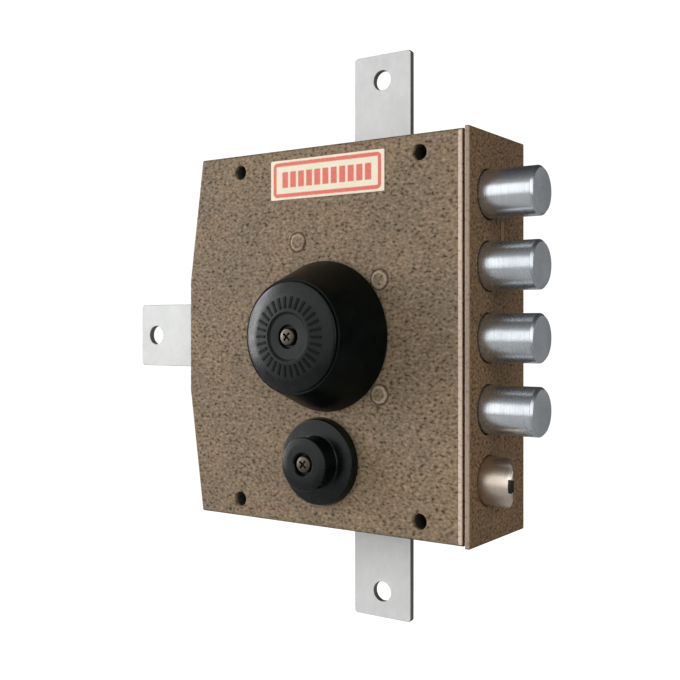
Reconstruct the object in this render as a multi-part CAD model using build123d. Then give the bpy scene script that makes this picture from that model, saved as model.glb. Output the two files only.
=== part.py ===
# Surface-mounted door lock with four round deadbolts, a sprung latch, three rod bolts
# and a cylinder for the outside key.
# Millimetres. Origin: centre of the four fixing holes, on the plane that lies on the door.
# +X towards the bolts, +Y into the door, +Z up. The lock is modelled thrown (locked).
from math import acos, asin, cos, degrees, pi, radians, sin, sqrt, tan
import os

from build123d import *

# Case
case_half_height = 83.0
case_depth = 53.0
sheet = 2.0
left_x = -79.6
left_corner_x = -71.6
left_flat = 26.0
cover_right_x = 66.8
side_x = 70.0
side_proud = 0.6
bend_radius = 2.0
fold_radius = 2.5
inner_fold_radius = 0.5

# Layers from the front of the case to the door
front_y = -case_depth
cover_back_y = front_y + sheet
spindle_front_y = front_y + 0.2
side_rod_y = (-48.0, -45.0)
carriage_y = (-34.0, -30.0)
mid_plate_y = (-24.5, -21.5)
rod_y = (-20.5, -17.5)
spindle_back_y = -7.6
back_plate_y = (-sheet, 0.0)

# Label
label_centre = (0.8, 69.4)
label_size = (60.0, 17.5)
label_thickness = 0.3

# Fixing, pillars and the plate that carries the mechanism
fixing_x = 47.5
fixing_z = 75.0
fixing_radius = 3.25
sleeve_radius = 4.75
pillar_places = ((-14.4, 41.4), (28.2, 23.8), (28.2, -24.2))
pillar_radius = 4.0
pillar_proud = 0.4
standoff_radius = 4.5
standoff_places = ((-52.0, 46.0), (-52.0, -46.0), (46.0, 34.0), (46.0, -34.0))
plate_left_x = -62.0
plate_half_height = 68.0
tenons = ((28.0, 48.0), (-48.0, -28.0))

# Deadbolts and the carriage that throws them
bolt_radius = 10.0
bolt_y = -35.6
bolt_pitch = 29.2
top_bolt_z = 58.0
bolt_heights = [top_bolt_z - bolt_pitch * number for number in range(4)]
bolt_tip_x = 93.3
bolt_root_x = 59.0
bolt_step_x = 70.5
bolt_relief = 0.15
bolt_hole_gap = 0.3
bolt_bar = (55.0, 59.0)
bolt_bar_y = (-43.0, -27.0)
bolt_bar_z = (-39.0, 68.0)
bolt_tenon = 10.0
tab_heights = (-14.5, 14.5, 43.5)
tab_half = 3.0

# Latch
latch_z = -58.5
latch_tip_x = 84.4
latch_root_x = 40.0
latch_seat = 11.0
latch_flat = 2.1
latch_slope_end_x = 71.0
latch_travel = 13.5
stem_side = 6.6
stem_start_x = 10.0
tail_y = (-46.0, -43.0)
tail_half = 6.0
bracket_x = (14.0, 17.0)
bracket_half = 8.0
spring_radii = (6.5, 5.0)

# Rack and pinion drive: one long pinion serves all the racks
tooth_module = 1.0
pinion_teeth = 14
pitch_radius = tooth_module * pinion_teeth / 2
tooth_pitch = pi * tooth_module
pressure_angle = radians(20)
backlash = 0.12
rack_addendum = 0.75 * tooth_module
dedendum = 1.25 * tooth_module
spindle_radius = 5.7
pinion_overlap = 0.4
running_gap = 0.05
slot_y = (-13.0, -7.0)
slot_gap = 0.15

# Rods
rod_width = 30.0
rod_centre_x = 9.0
rod_end_z = 128.0
rod_hole_z = 116.2
rod_hole_radius = 4.5
rod_inner_z = 54.0
rod_corner = 1.0
side_rod_tip_x = -116.5
side_rod_hole_x = -106.5
slot_clearance = (0.5, 0.6)

# Straps that guide the rods
strap_thickness = 1.6
strap_width = 9.0
strap_foot = 9.0
strap_gaps = (0.4, 0.3)
top_guide_z = 57.0
bottom_guide_z = -67.5
side_guide_x = -69.0

# Knobs, in heights above the cover
knob_gap = 0.3
knob_radius = 32.6
knob_cap = (23.7, 24.5)
knob_top = 27.0
knob_seat = 24.2
knob_square = 8.0
knob_square_height = 15.7
latch_knob_x = -1.3
latch_knob_z = -54.1
latch_knob_radius = 19.1
latch_knob_rim = (18.4, 4.3)
latch_knob_cap = (11.5, 14.0)
latch_knob_seat = 11.4
latch_square = 5.0
latch_square_height = 9.0
knob_recess = 4.6
square_gap = 0.1
screw_radius = 3.65
screw_height = 2.6

# Crank on the small knob's spindle
latch_spindle_radius = 4.0
crank_radius = 17.0
crank_pin_radius = 2.0
crank_y = (-50.6, -47.6)

# Cylinder for the outside key
barrel_radius = 16.0
barrel_end_y = 48.0
barrel_start_y = 0.5
barrel_neck_radius = 15.8
barrel_hole_radius = 16.1
barrel_flange = (47.0, 30.0)
flange_y = (-5.0, -2.0)
plug_radius = 8.0
plug_back_y = flange_y[0] - 0.3
cylinder_screw_x = 19.5
driver_bar_size = (19.0, 10.0, 2.0)
driver_tongue_size = (3.0, 8.0, 5.0)
key_shoulder_y = 47.4
key_blade_length = 25.0
key_blade_half = 4.1
key_thickness = 2.8
keyway_gap = 0.15
groove_depth = 0.6


def block(x, y, z):
    """A box from three (low, high) pairs."""
    size = [high - low for low, high in (x, y, z)]
    middle = [(high + low) / 2 for low, high in (x, y, z)]
    return Pos(*middle) * Box(*size)


def slab(outline, layer):
    """A flat piece cut from an outline in X and Z, filling a layer of the case's depth."""
    front, back = layer
    return extrude(Plane.XZ.offset(-back) * outline, amount=back - front)


def bar_y(x, z, radius, layer):
    """A round bar along Y."""
    return slab(Pos(x, z) * Circle(radius), layer)


def bar_x(y, z, radius, span):
    """A round bar along X."""
    low, high = span
    return Pos((low + high) / 2, y, z) * Rot(0, 90, 0) * Cylinder(radius, high - low)


def rectangle(x, z):
    """A rectangle from two (low, high) pairs."""
    return Pos((x[0] + x[1]) / 2, (z[0] + z[1]) / 2) * Rectangle(x[1] - x[0], z[1] - z[0])


def turned(profile, x=0.0, z=0.0, base_y=0.0):
    """A piece turned about an axis along -Y, from (radius, height) pairs."""
    corners = [(radius, -height) for radius, height in profile]
    face = make_face(Polyline(*corners, close=True))
    return Pos(x, base_y, z) * revolve(face, axis=Axis.Y)


def polygon(*points):
    """A closed straight-sided outline in X and Z."""
    return make_face(Polyline(*points, close=True))


def case_outline(right, half_height, inset=0.0):
    """The case seen from the front: straight on the right, drawn in above and below on the left."""
    slope = (left_corner_x - left_x) / (case_half_height - left_flat)
    stretch = inset * sqrt(1 + slope * slope)
    top = half_height - inset
    top_left = left_x + stretch + slope * (top - left_flat)
    flat = left_flat - inset * slope / 2
    return polygon(
        (right, -top),
        (right, top),
        (top_left, top),
        (left_x + inset, flat),
        (left_x + inset, -flat),
        (top_left, -top),
    )


def many_sided(radius, x=0.0, z=0.0):
    """A round outline with few facets, for what is small or hardly shows."""
    return Pos(x, z) * RegularPolygon(radius, 24)


def at_places(places, radius, layer):
    """Round bars along Y at several places."""
    return [bar_y(x, z, radius, layer) for x, z in places]


def fixing_places():
    return [(side * fixing_x, level * fixing_z) for side in (-1, 1) for level in (-1, 1)]


def front_cover():
    """Folded tray: front sheet with a left, a top and a bottom flange."""
    tray = slab(case_outline(cover_right_x, case_half_height), (front_y, -sheet))
    front = tray.faces().sort_by(Axis.Y)[0]
    rim = [edge for edge in front.edges() if edge.center().X < cover_right_x - 1]
    tray = fillet(rim, bend_radius)
    hollow = slab(case_outline(side_x, case_half_height, sheet), (cover_back_y, 0))
    tray -= hollow
    beside, around = slot_clearance
    half = rod_width / 2 + beside
    upright_slots = block(
        (rod_centre_x - half, rod_centre_x + half),
        (rod_y[0] - around, rod_y[1] + around),
        (-case_half_height - 1, case_half_height + 1),
    )
    side_slot = block(
        (left_x - 1, left_x + sheet + 1),
        (side_rod_y[0] - around, side_rod_y[1] + around),
        (-half, half),
    )
    tray -= [upright_slots, side_slot]
    through = (front_y - 1, cover_back_y + 1)
    tray -= at_places(fixing_places(), fixing_radius, through)
    tray -= [slab(many_sided(pillar_radius, x, z), through) for x, z in pillar_places]
    tray -= slab(many_sided(spindle_radius + 2 * running_gap), through)
    latch_hole = latch_spindle_radius + 2 * running_gap
    return tray - slab(many_sided(latch_hole, latch_knob_x, latch_knob_z), through)


def base_plate():
    """Back plate and bolt-side plate, folded from one sheet."""
    half_height = case_half_height + side_proud
    back = slab(case_outline(side_x, half_height), back_plate_y)
    side = block((side_x - sheet, side_x), (front_y, 0), (-half_height, half_height))
    plate = back + side
    fold = plate.edges().filter_by(Axis.Z).sort_by(lambda edge: edge.center().X + edge.center().Y)[-1]
    plate = fillet(fold, fold_radius)
    inner_fold = (
        plate.edges()
        .filter_by(Axis.Z)
        .sort_by(lambda edge: abs(edge.center().X - side_x + sheet) + abs(edge.center().Y + sheet))[0]
    )
    plate = fillet(inner_fold, inner_fold_radius)
    across = (side_x - sheet - 1, side_x + 1)
    for height in bolt_heights + [latch_z]:
        plate -= bar_x(bolt_y, height, bolt_radius + bolt_hole_gap, across)
    for tenon in tenons:
        plate -= block(across, mid_plate_y, tenon)
    through = (-sheet - 1, 1)
    plate -= at_places(fixing_places(), fixing_radius, through)
    return plate - bar_y(0, 0, barrel_hole_radius, through)


def mid_plate():
    """Plate that carries the mechanism, with two tenons that show in the bolt side."""
    inner = side_x - sheet
    plate = slab(rectangle((plate_left_x, inner), (-plate_half_height, plate_half_height)), mid_plate_y)
    for tenon in tenons:
        plate += block((inner - 1, side_x), mid_plate_y, tenon)
    through = (mid_plate_y[0] - 1, mid_plate_y[1] + 1)
    return plate - bar_y(0, 0, pitch_radius + tooth_module + running_gap, through)


def cover_pillars():
    """Three pillars on the mid plate, riveted over in front of the cover."""
    layer = (front_y - pillar_proud, mid_plate_y[0])
    return [slab(many_sided(pillar_radius, x, z), layer) for x, z in pillar_places]


def flat_sided_tube(outer, inner, sides):
    """Cross-section of a hidden tube with flat sides, open at least to its inner radius."""
    return RegularPolygon(outer, sides) - RegularPolygon(inner, sides, major_radius=False)


def fixing_sleeves():
    """Distance tubes round the four fixing holes."""
    layer = (cover_back_y, -sheet)
    ring = flat_sided_tube(sleeve_radius, fixing_radius, 8)
    return [slab(Pos(x, z) * ring, layer) for x, z in fixing_places()]


def rear_standoffs():
    """Hexagonal distance pieces between the mid plate and the back plate."""
    layer = (mid_plate_y[1], -sheet)
    return [slab(Pos(x, z) * RegularPolygon(standoff_radius, 6), layer) for x, z in standoff_places]


def guide_strap(rod_layer, plate_face):
    """Sheet strap that holds a rod against a plate: bridge, two legs and two feet.
    Made round the Z axis, with the plate's face at Y = 0 and the rod running along Z."""
    beside, behind = strap_gaps
    bridge = rod_layer[1] + behind - plate_face
    inner = rod_width / 2 + beside
    outer = inner + strap_thickness
    foot = outer + strap_foot
    profile = polygon(
        (-foot, 0),
        (-inner, 0),
        (-inner, bridge),
        (inner, bridge),
        (inner, 0),
        (foot, 0),
        (foot, strap_thickness),
        (outer, strap_thickness),
        (outer, bridge + strap_thickness),
        (-outer, bridge + strap_thickness),
        (-outer, strap_thickness),
        (-foot, strap_thickness),
    )
    return extrude(profile, amount=strap_width)


def rod_guide(level):
    """Guide on the back of the mid plate for an upright rod."""
    plate_face = mid_plate_y[1]
    return Pos(rod_centre_x, plate_face, level) * guide_strap(rod_y, plate_face)


def side_rod_guide():
    """Guide on the inside of the cover for the rod that leaves on the left."""
    strap = guide_strap(side_rod_y, cover_back_y)
    return Pos(side_guide_x, cover_back_y, 0) * Rot(0, 90, 0) * strap


def label_plate():
    """Blank label on the cover, above the knob."""
    outline = Pos(*label_centre) * Rectangle(*label_size)
    return slab(outline, (front_y - label_thickness, front_y))


def involute_flank(steps):
    """Half angle and radius along one flank of a pinion tooth, from its foot to its tip."""
    base = pitch_radius * cos(pressure_angle)
    half_tooth = (tooth_pitch / 2 - backlash) / (2 * pitch_radius)
    at_pitch = tan(pressure_angle) - pressure_angle
    tip = pitch_radius + tooth_module
    flank = []
    for step in range(steps + 1):
        radius = base + (tip - base) * step / steps
        roll = acos(base / radius)
        flank.append((half_tooth + at_pitch - tan(roll) + roll, radius))
    return [(flank[0][0], pitch_radius - dedendum)] + flank


def pinion(layer):
    """Pinion with involute teeth, a tooth gap facing straight up and straight down."""
    flank = involute_flank(2)
    points = []
    for tooth in range(pinion_teeth):
        middle = pi / 2 + (tooth + 0.5) * 2 * pi / pinion_teeth
        for angle, radius in flank:
            points.append((radius * cos(middle - angle), radius * sin(middle - angle)))
        for angle, radius in reversed(flank):
            points.append((radius * cos(middle + angle), radius * sin(middle + angle)))
    return slab(polygon(*points), layer)


def rack_teeth(first, last, phase):
    """Straight-flanked rack teeth along X, standing up from their root line.
    The pitch line is local Y = 0 and phase is the place of one tooth's middle."""
    half = tooth_pitch / 4 - backlash / 2
    slope = tan(pressure_angle)
    tip = half - rack_addendum * slope
    root = half + dedendum * slope
    deep = dedendum + 0.5
    teeth = []
    for number in range(first, last + 1):
        middle = phase + number * tooth_pitch
        teeth.append(
            polygon(
                (middle - root, -deep),
                (middle + root, -deep),
                (middle + root, -dedendum),
                (middle + tip, rack_addendum),
                (middle - tip, rack_addendum),
                (middle - root, -dedendum),
            )
        )
    return teeth


def square_end(x, z, side, height, gap=0.0):
    """Square end of a spindle, up to a height above the cover, or with a gap its socket."""
    width = side + 2 * gap
    return slab(Pos(x, z) * Rectangle(width, width), (front_y - height - gap, spindle_front_y))


def drive_spindle():
    """Spindle with a square end for the knob, a long pinion and a slotted rear end."""
    spindle = bar_y(0, 0, spindle_radius, (spindle_front_y, spindle_back_y))
    spindle += square_end(0, 0, knob_square, knob_square_height)
    spindle += pinion((side_rod_y[0] - pinion_overlap, rod_y[1] + pinion_overlap))
    half_slot = driver_tongue_size[0] / 2 + slot_gap
    half_height = driver_tongue_size[1] / 2 + slot_gap
    return spindle - block((-half_slot, half_slot), slot_y, (-half_height, half_height))


def main_knob():
    """Round knob with a flared skirt, a domed cap and a recess for its screw."""
    profile = (
        (0, knob_gap),
        (knob_radius, knob_gap),
        knob_cap,
        (knob_recess, knob_top),
        (knob_recess, knob_seat),
        (0, knob_seat),
    )
    knob = turned(profile, base_y=front_y)
    return knob - square_end(0, 0, knob_square, knob_square_height, square_gap)


def knob_screw(x, z, seat):
    """Head of the screw that holds a knob, in the knob's recess."""
    return slab(many_sided(screw_radius, x, z), (front_y - seat - screw_height, front_y - seat))


def bolt_carriage():
    """Plate that throws the bolts: rack, spindle window, two guide slots that open at the
    bar, and three tabs."""
    bar_x_start = bolt_bar[0]
    low, high = bolt_bar_z
    left = -14.0
    half = 33.0
    outline = polygon(
        (left, -half),
        (40.0, -half),
        (44.0, low),
        (bar_x_start, low),
        (bar_x_start, high),
        (44.0, high),
        (34.0, half),
        (left, half),
    )
    root_z = -pitch_radius - dedendum
    window = rectangle((-9.5, 31.5), (root_z, 10.0))
    outline -= window
    outline += [Pos(0, -pitch_radius) * tooth for tooth in rack_teeth(-1, 8, 0.0)]
    reach = pillar_radius + 0.3
    for x, z in pillar_places[1:]:
        outline -= rectangle((x - reach, bar_x_start + 1), (z - reach, z + reach))
    for tab in tab_heights:
        outline += rectangle((bar_x_start - 1, bolt_bar[1]), (tab - tab_half, tab + tab_half))
    return slab(outline, carriage_y)


def carriage_bar():
    """Upright bar that holds the square tenons of the four deadbolts."""
    bar = block(bolt_bar, bolt_bar_y, bolt_bar_z)
    across = (bolt_bar[0] - 1, bolt_bar[1] + 1)
    for tab in tab_heights:
        bar -= block(across, carriage_y, (tab - tab_half, tab + tab_half))
    for height in bolt_heights:
        bar -= square_x(bolt_y, height, bolt_tenon, across)
    return bar


def square_x(y, z, side, span):
    """A square bar along X."""
    return block(span, (y - side / 2, y + side / 2), (z - side / 2, z + side / 2))


def deadbolt(height):
    """Round bolt, a little slimmer inside the case, with a square tenon."""
    bolt = bar_x(bolt_y, height, bolt_radius, (bolt_step_x, bolt_tip_x))
    section = Plane.YZ * many_sided(bolt_radius - bolt_relief)
    shank = extrude(section, amount=bolt_step_x - bolt_root_x)
    bolt += Pos(bolt_root_x, bolt_y, height) * shank
    return bolt + square_x(bolt_y, height, bolt_tenon, (bolt_bar[0], bolt_root_x))


def top_rod():
    """Upper rod end, with a leg whose rack meets the right of the spindle."""
    left = rod_centre_x - rod_width / 2
    right = left + rod_width
    root_x = pitch_radius + dedendum
    outline = polygon(
        (left, rod_inner_z),
        (root_x, rod_inner_z),
        (root_x, -6.0),
        (18.0, -6.0),
        (18.0, 40.0),
        (right, rod_inner_z),
        (right, rod_end_z),
        (left, rod_end_z),
    )
    tip = [corner for corner in outline.vertices() if corner.Y > rod_end_z - 1]
    outline = chamfer(tip, rod_corner)
    racks = rack_teeth(-2, 7, tooth_pitch / 2)
    outline += [Pos(pitch_radius, 0) * Rot(0, 0, 90) * tooth for tooth in racks]
    outline -= Pos(rod_centre_x, rod_hole_z) * Circle(rod_hole_radius)
    return slab(outline, rod_y)


def bottom_rod():
    """Lower rod end, cranked to a leg whose rack meets the left of the spindle."""
    left = rod_centre_x - rod_width / 2
    right = left + rod_width
    root_x = -pitch_radius - dedendum
    outline = polygon(
        (left, -rod_end_z),
        (right, -rod_end_z),
        (right, -rod_inner_z),
        (root_x + 4.0, -rod_inner_z),
        (root_x, -rod_inner_z + 4.0),
        (root_x, 6.0),
        (-17.0, 6.0),
        (-17.0, -rod_inner_z + 4.5),
        (-9.0, -rod_inner_z - 3.5),
        (left, -rod_inner_z - 3.5),
    )
    tip = [corner for corner in outline.vertices() if corner.Y < 1 - rod_end_z]
    outline = chamfer(tip, rod_corner)
    racks = rack_teeth(-8, 1, tooth_pitch / 2)
    outline += [Pos(-pitch_radius, 0) * Rot(0, 0, -90) * tooth for tooth in mirrored(racks)]
    outline -= Pos(rod_centre_x, -rod_hole_z) * Circle(rod_hole_radius)
    return slab(outline, rod_y)


def mirrored(teeth):
    """The same teeth, running the other way along X."""
    return [mirror(tooth, about=Plane.YZ) for tooth in teeth]


def side_rod():
    """Left rod end, with an arm whose rack meets the top of the spindle."""
    root_z = pitch_radius + dedendum
    half = rod_width / 2
    outline = polygon(
        (side_rod_tip_x, -half),
        (-36.0, -half),
        (-31.0, -half + 8.0),
        (-31.0, root_z),
        (6.0, root_z),
        (6.0, half),
        (side_rod_tip_x, half),
    )
    tip = [corner for corner in outline.vertices() if corner.X < side_rod_tip_x + 1]
    outline = chamfer(tip, rod_corner)
    racks = rack_teeth(-8, 1, 0.0)
    outline += [Pos(0, pitch_radius) * mirror(tooth, about=Plane.XZ) for tooth in racks]
    outline -= Pos(side_rod_hole_x, 0) * Circle(rod_hole_radius)
    return slab(outline, side_rod_y)


def latch_bolt():
    """Round latch with a slanted nose, a step for its tail plate and a spring stem."""
    bolt = bar_x(bolt_y, latch_z, bolt_radius, (latch_root_x, latch_tip_x))
    front = bolt_y - bolt_radius
    back = bolt_y + bolt_radius
    clear = 5
    slant = Polyline(
        (latch_tip_x + clear, front + latch_flat),
        (latch_tip_x, front + latch_flat),
        (latch_slope_end_x, back),
        (latch_slope_end_x, back + clear),
        (latch_tip_x + clear, back + clear),
        close=True,
    )
    bolt -= Pos(0, 0, latch_z) * extrude(make_face(slant), amount=bolt_radius + 1, both=True)
    bolt -= block(
        (latch_root_x - 1, latch_root_x + latch_seat),
        (front - 1, tail_y[1]),
        (latch_z - bolt_radius, latch_z + bolt_radius),
    )
    return bolt + square_x(bolt_y, latch_z, stem_side, (stem_start_x, latch_root_x))


def crank_angle():
    """Half of the turn that the small knob needs to draw the latch."""
    return asin(latch_travel / 2 / crank_radius)


def crank_pin_place():
    """Where the crank pin stands with the latch thrown."""
    swing = crank_angle()
    return latch_knob_x + crank_radius * sin(swing), latch_knob_z - crank_radius * cos(swing)


def latch_tail():
    """Plate fixed to the latch, with the upright slot that the crank pin works in."""
    slot_x = crank_pin_place()[0]
    slot_z = latch_knob_z - crank_radius
    seat_x = latch_root_x + latch_seat
    outline = polygon(
        (slot_x - tail_half, slot_z - tail_half),
        (slot_x + tail_half, slot_z - tail_half),
        (latch_root_x - 8.0, latch_z - tail_half),
        (seat_x, latch_z - tail_half),
        (seat_x, latch_z + tail_half),
        (slot_x + tail_half, latch_z + tail_half),
        (slot_x - tail_half, latch_z - 2.0),
    )
    half_slot = crank_pin_radius + slot_gap
    outline -= rectangle(
        (slot_x - half_slot, slot_x + half_slot),
        (slot_z - half_slot - 0.3, slot_z + half_slot + 2.4),
    )
    return slab(outline, tail_y)


def latch_crank():
    """Spindle of the small knob, with a finger and the pin that draws the latch."""
    finger = polygon(
        (-4.5, 5.0),
        (4.5, 5.0),
        (6.5, 0),
        (3.4, -crank_radius - 2.0),
        (0, -crank_radius - 3.4),
        (-3.4, -crank_radius - 2.0),
        (-6.5, 0),
    )
    turned_finger = Pos(latch_knob_x, latch_knob_z) * Rot(0, 0, degrees(crank_angle())) * finger
    crank = slab(turned_finger, crank_y)
    spindle = many_sided(latch_spindle_radius, latch_knob_x, latch_knob_z)
    crank += slab(spindle, (spindle_front_y, crank_y[1]))
    crank += square_end(latch_knob_x, latch_knob_z, latch_square, latch_square_height)
    pin = many_sided(crank_pin_radius, *crank_pin_place())
    return crank + slab(pin, (crank_y[0], tail_y[1] + 0.6))


def latch_knob():
    """Small knob: thin flange, neck with a flat top and a recess for its screw."""
    profile = (
        (0, knob_gap),
        (latch_knob_radius, knob_gap),
        latch_knob_rim,
        (latch_knob_cap[0], latch_knob_rim[1]),
        latch_knob_cap,
        (knob_recess, latch_knob_cap[1]),
        (knob_recess, latch_knob_seat),
        (0, latch_knob_seat),
    )
    knob = turned(profile, latch_knob_x, latch_knob_z, front_y)
    return knob - square_end(latch_knob_x, latch_knob_z, latch_square, latch_square_height, square_gap)


def latch_bracket():
    """Bracket on the mid plate that guides the latch stem and backs its spring."""
    level = (latch_z - bracket_half, latch_z + bracket_half)
    plate_face = mid_plate_y[0]
    wall = block(bracket_x, (-42.5, plate_face), level)
    foot = block((4.0, bracket_x[1] - 1.0), (plate_face - 2.5, plate_face), level)
    hole = square_x(bolt_y, latch_z, stem_side + 2 * running_gap, (bracket_x[0] - 1, bracket_x[1] + 1))
    return wall + foot - hole


def latch_spring():
    """Coil spring round the latch stem, given as the plain tube that its turns fill."""
    section = Plane.YZ * flat_sided_tube(*spring_radii, 12)
    turns = extrude(section, amount=latch_root_x - bracket_x[1])
    return Pos(bracket_x[1], bolt_y, latch_z) * turns


def cylinder_body():
    """Barrel that passes through the door, with a flange inside the case."""
    barrel = bar_y(0, 0, barrel_radius, (barrel_start_y, barrel_end_y))
    barrel += slab(many_sided(barrel_neck_radius), (flange_y[0], barrel_start_y))
    barrel += slab(Rectangle(*barrel_flange), flange_y)
    return barrel - bar_y(0, 0, plug_radius, (flange_y[0] - 1, barrel_end_y + 1))


def cylinder_screws():
    """Hexagon heads of the screws that hold the cylinder's flange to the back plate."""
    head = (flange_y[0] - 2.5, flange_y[0])
    return [slab(Pos(side * cylinder_screw_x, 0) * RegularPolygon(3.8, 6), head) for side in (-1, 1)]


def cylinder_plug():
    """Plug that the key turns, with its keyway in front."""
    face_y = key_shoulder_y - 0.2
    plug = bar_y(0, 0, plug_radius - running_gap, (plug_back_y, face_y))
    half_width = key_thickness / 2 + keyway_gap
    half_height = key_blade_half + 0.2
    deep = key_shoulder_y - key_blade_length - 1
    return plug - block((-half_width, half_width), (deep, face_y + 1), (-half_height, half_height))


def plug_driver():
    """Bar that keeps the plug in its barrel and turns the slotted end of the spindle."""
    bar_front = plug_back_y - driver_bar_size[2]
    bar = slab(Rectangle(*driver_bar_size[:2]), (bar_front, plug_back_y))
    return bar + slab(Rectangle(*driver_tongue_size[:2]), (bar_front - driver_tongue_size[2], bar_front))


def key():
    """Flat key with a rounded bow and a grooved blade."""
    shoulder = key_shoulder_y
    tip = shoulder - key_blade_length
    neck_end = shoulder + 16.0
    bow_end = neck_end + 27.0
    blade = polygon(
        (tip, -1.2),
        (tip + 2.2, -key_blade_half),
        (shoulder, -key_blade_half),
        (shoulder, key_blade_half),
        (tip + 5.5, key_blade_half),
        (tip + 3.0, 2.6),
        (tip, 1.4),
    )
    shank = rectangle((shoulder, neck_end + 3), (-5.75, 5.75))
    bow = Pos((neck_end + bow_end) / 2, 0) * RectangleRounded(bow_end - neck_end, 27.0, 7.0)
    hanging_hole = Pos(bow_end - 4.6, 0) * Rot(0, 0, 90) * SlotCenterToCenter(4.1, 4.3)
    face_x = key_thickness / 2
    flat = Plane(origin=(-face_x, 0, 0), x_dir=(0, 1, 0), z_dir=(1, 0, 0))
    blank = extrude(flat * (blade + shank + bow - hanging_hole), amount=key_thickness)
    for side in (-1, 1):
        for height in (-2.6, -0.4):
            across = sorted((side * face_x, side * (face_x - groove_depth)))
            blank -= block(across, (tip - 1, shoulder + 4.0), (height - 0.5, height + 0.5))
    return blank


def write(name, shape):
    """Write one sub-part, one solid or a group of separate ones."""
    if isinstance(shape, list):
        shape = Compound(children=[solid for piece in shape for solid in piece.solids()])
    export_step(shape, f"parts/{name}.step")


def main():
    os.makedirs("parts", exist_ok=True)
    write("front_cover", front_cover())
    write("base_plate", base_plate())
    write("mid_plate", mid_plate())
    write("cover_pillars", cover_pillars())
    write("fixing_sleeves", fixing_sleeves())
    write("rear_standoffs", rear_standoffs())
    write("label_plate", label_plate())
    write("top_rod_guide", rod_guide(top_guide_z))
    write("bottom_rod_guide", rod_guide(bottom_guide_z))
    write("side_rod_guide", side_rod_guide())
    write("latch_bracket", latch_bracket())
    write("cylinder_body", cylinder_body())
    write("cylinder_screws", cylinder_screws())
    write("cylinder_plug", cylinder_plug())
    write("plug_driver", plug_driver())
    write("key", key())
    write("drive_spindle", drive_spindle())
    write("main_knob", main_knob())
    write("main_knob_screw", knob_screw(0, 0, knob_seat))
    write("bolt_carriage", bolt_carriage())
    write("carriage_bar", carriage_bar())
    write("deadbolts", [deadbolt(height) for height in bolt_heights])
    write("top_rod", top_rod())
    write("bottom_rod", bottom_rod())
    write("side_rod", side_rod())
    write("latch_bolt", latch_bolt())
    write("latch_tail", latch_tail())
    write("latch_spring", latch_spring())
    write("latch_crank", latch_crank())
    write("latch_knob", latch_knob())
    write("latch_knob_screw", knob_screw(latch_knob_x, latch_knob_z, latch_knob_seat))


main()
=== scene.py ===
import math

import bmesh
import bpy
from mathutils import Matrix, Vector


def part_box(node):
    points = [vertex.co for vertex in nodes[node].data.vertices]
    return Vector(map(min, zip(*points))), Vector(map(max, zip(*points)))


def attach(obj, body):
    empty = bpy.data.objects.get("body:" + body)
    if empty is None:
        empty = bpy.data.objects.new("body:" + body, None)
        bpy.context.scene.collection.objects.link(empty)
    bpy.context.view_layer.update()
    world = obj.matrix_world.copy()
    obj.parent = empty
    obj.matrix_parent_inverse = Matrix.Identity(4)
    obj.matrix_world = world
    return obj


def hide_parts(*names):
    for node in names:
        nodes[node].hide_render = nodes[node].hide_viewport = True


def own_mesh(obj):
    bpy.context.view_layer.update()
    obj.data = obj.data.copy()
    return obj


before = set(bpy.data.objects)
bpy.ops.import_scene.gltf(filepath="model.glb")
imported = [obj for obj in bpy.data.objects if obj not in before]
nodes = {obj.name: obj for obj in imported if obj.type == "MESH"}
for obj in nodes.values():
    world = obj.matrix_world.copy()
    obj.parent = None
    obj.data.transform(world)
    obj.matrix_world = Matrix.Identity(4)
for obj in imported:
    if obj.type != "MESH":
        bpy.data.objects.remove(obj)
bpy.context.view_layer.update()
mm = 0.001
print("frame loaded")


# Shader maths: an expression on levels adds its own Math nodes

class Level:
    def __init__(self, wiring, socket):
        self.wiring = wiring
        self.socket = socket

    def maths(self, operation, first, second=0.0):
        return self.wiring.node("Math", {"operation": operation}, {0: first, 1: second})

    def __add__(self, other):
        return self.maths("ADD", self, other)

    def __sub__(self, other):
        return self.maths("SUBTRACT", self, other)

    def __rsub__(self, other):
        return self.maths("SUBTRACT", other, self)

    def __mul__(self, other):
        return self.maths("MULTIPLY", self, other)

    def __truediv__(self, other):
        return self.maths("DIVIDE", self, other)

    def __gt__(self, other):
        return self.maths("GREATER_THAN", self, other)

    def __lt__(self, other):
        return self.maths("LESS_THAN", self, other)

    def __abs__(self):
        return self.maths("ABSOLUTE", self)

    def below(self, other):
        return self.maths("MINIMUM", self, other)

    def above(self, other):
        return self.maths("MAXIMUM", self, other)

    def root(self):
        return self.maths("SQRT", self)


class Wiring:
    def __init__(self, tree):
        self.tree = tree

    def node(self, kind, settings=None, sockets=None, out=0):
        made = self.tree.nodes.new("ShaderNode" + kind)
        for key, value in (settings or {}).items():
            if key == "stops":
                setStops(made.color_ramp, value)
            else:
                setattr(made, key, value)
        for key, value in (sockets or {}).items():
            self.feed(made.inputs[key], value)
        return Level(self, made.outputs[out])

    def feed(self, socket, value):
        if isinstance(value, Level):
            self.tree.links.new(value.socket, socket)
        else:
            socket.default_value = value

    def part(self, vector, axis):
        return self.node("SeparateXYZ", {}, {0: vector}, out=axis)

    def ramp(self, level, stops):
        return self.node("ValToRGB", {"stops": stops}, {"Fac": level})

    def blend(self, factor, first, second, mode="MIX"):
        return self.node("Mix", {"data_type": "RGBA", "blend_type": mode},
                         {0: factor, 6: first, 7: second}, out=2)

    def span(self, level, low, high, newLow=0.0, newHigh=1.0, curve="LINEAR"):
        sockets = {"Value": level, "From Min": low, "From Max": high,
                   "To Min": newLow, "To Max": newHigh}
        return self.node("MapRange", {"interpolation_type": curve}, sockets)


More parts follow.
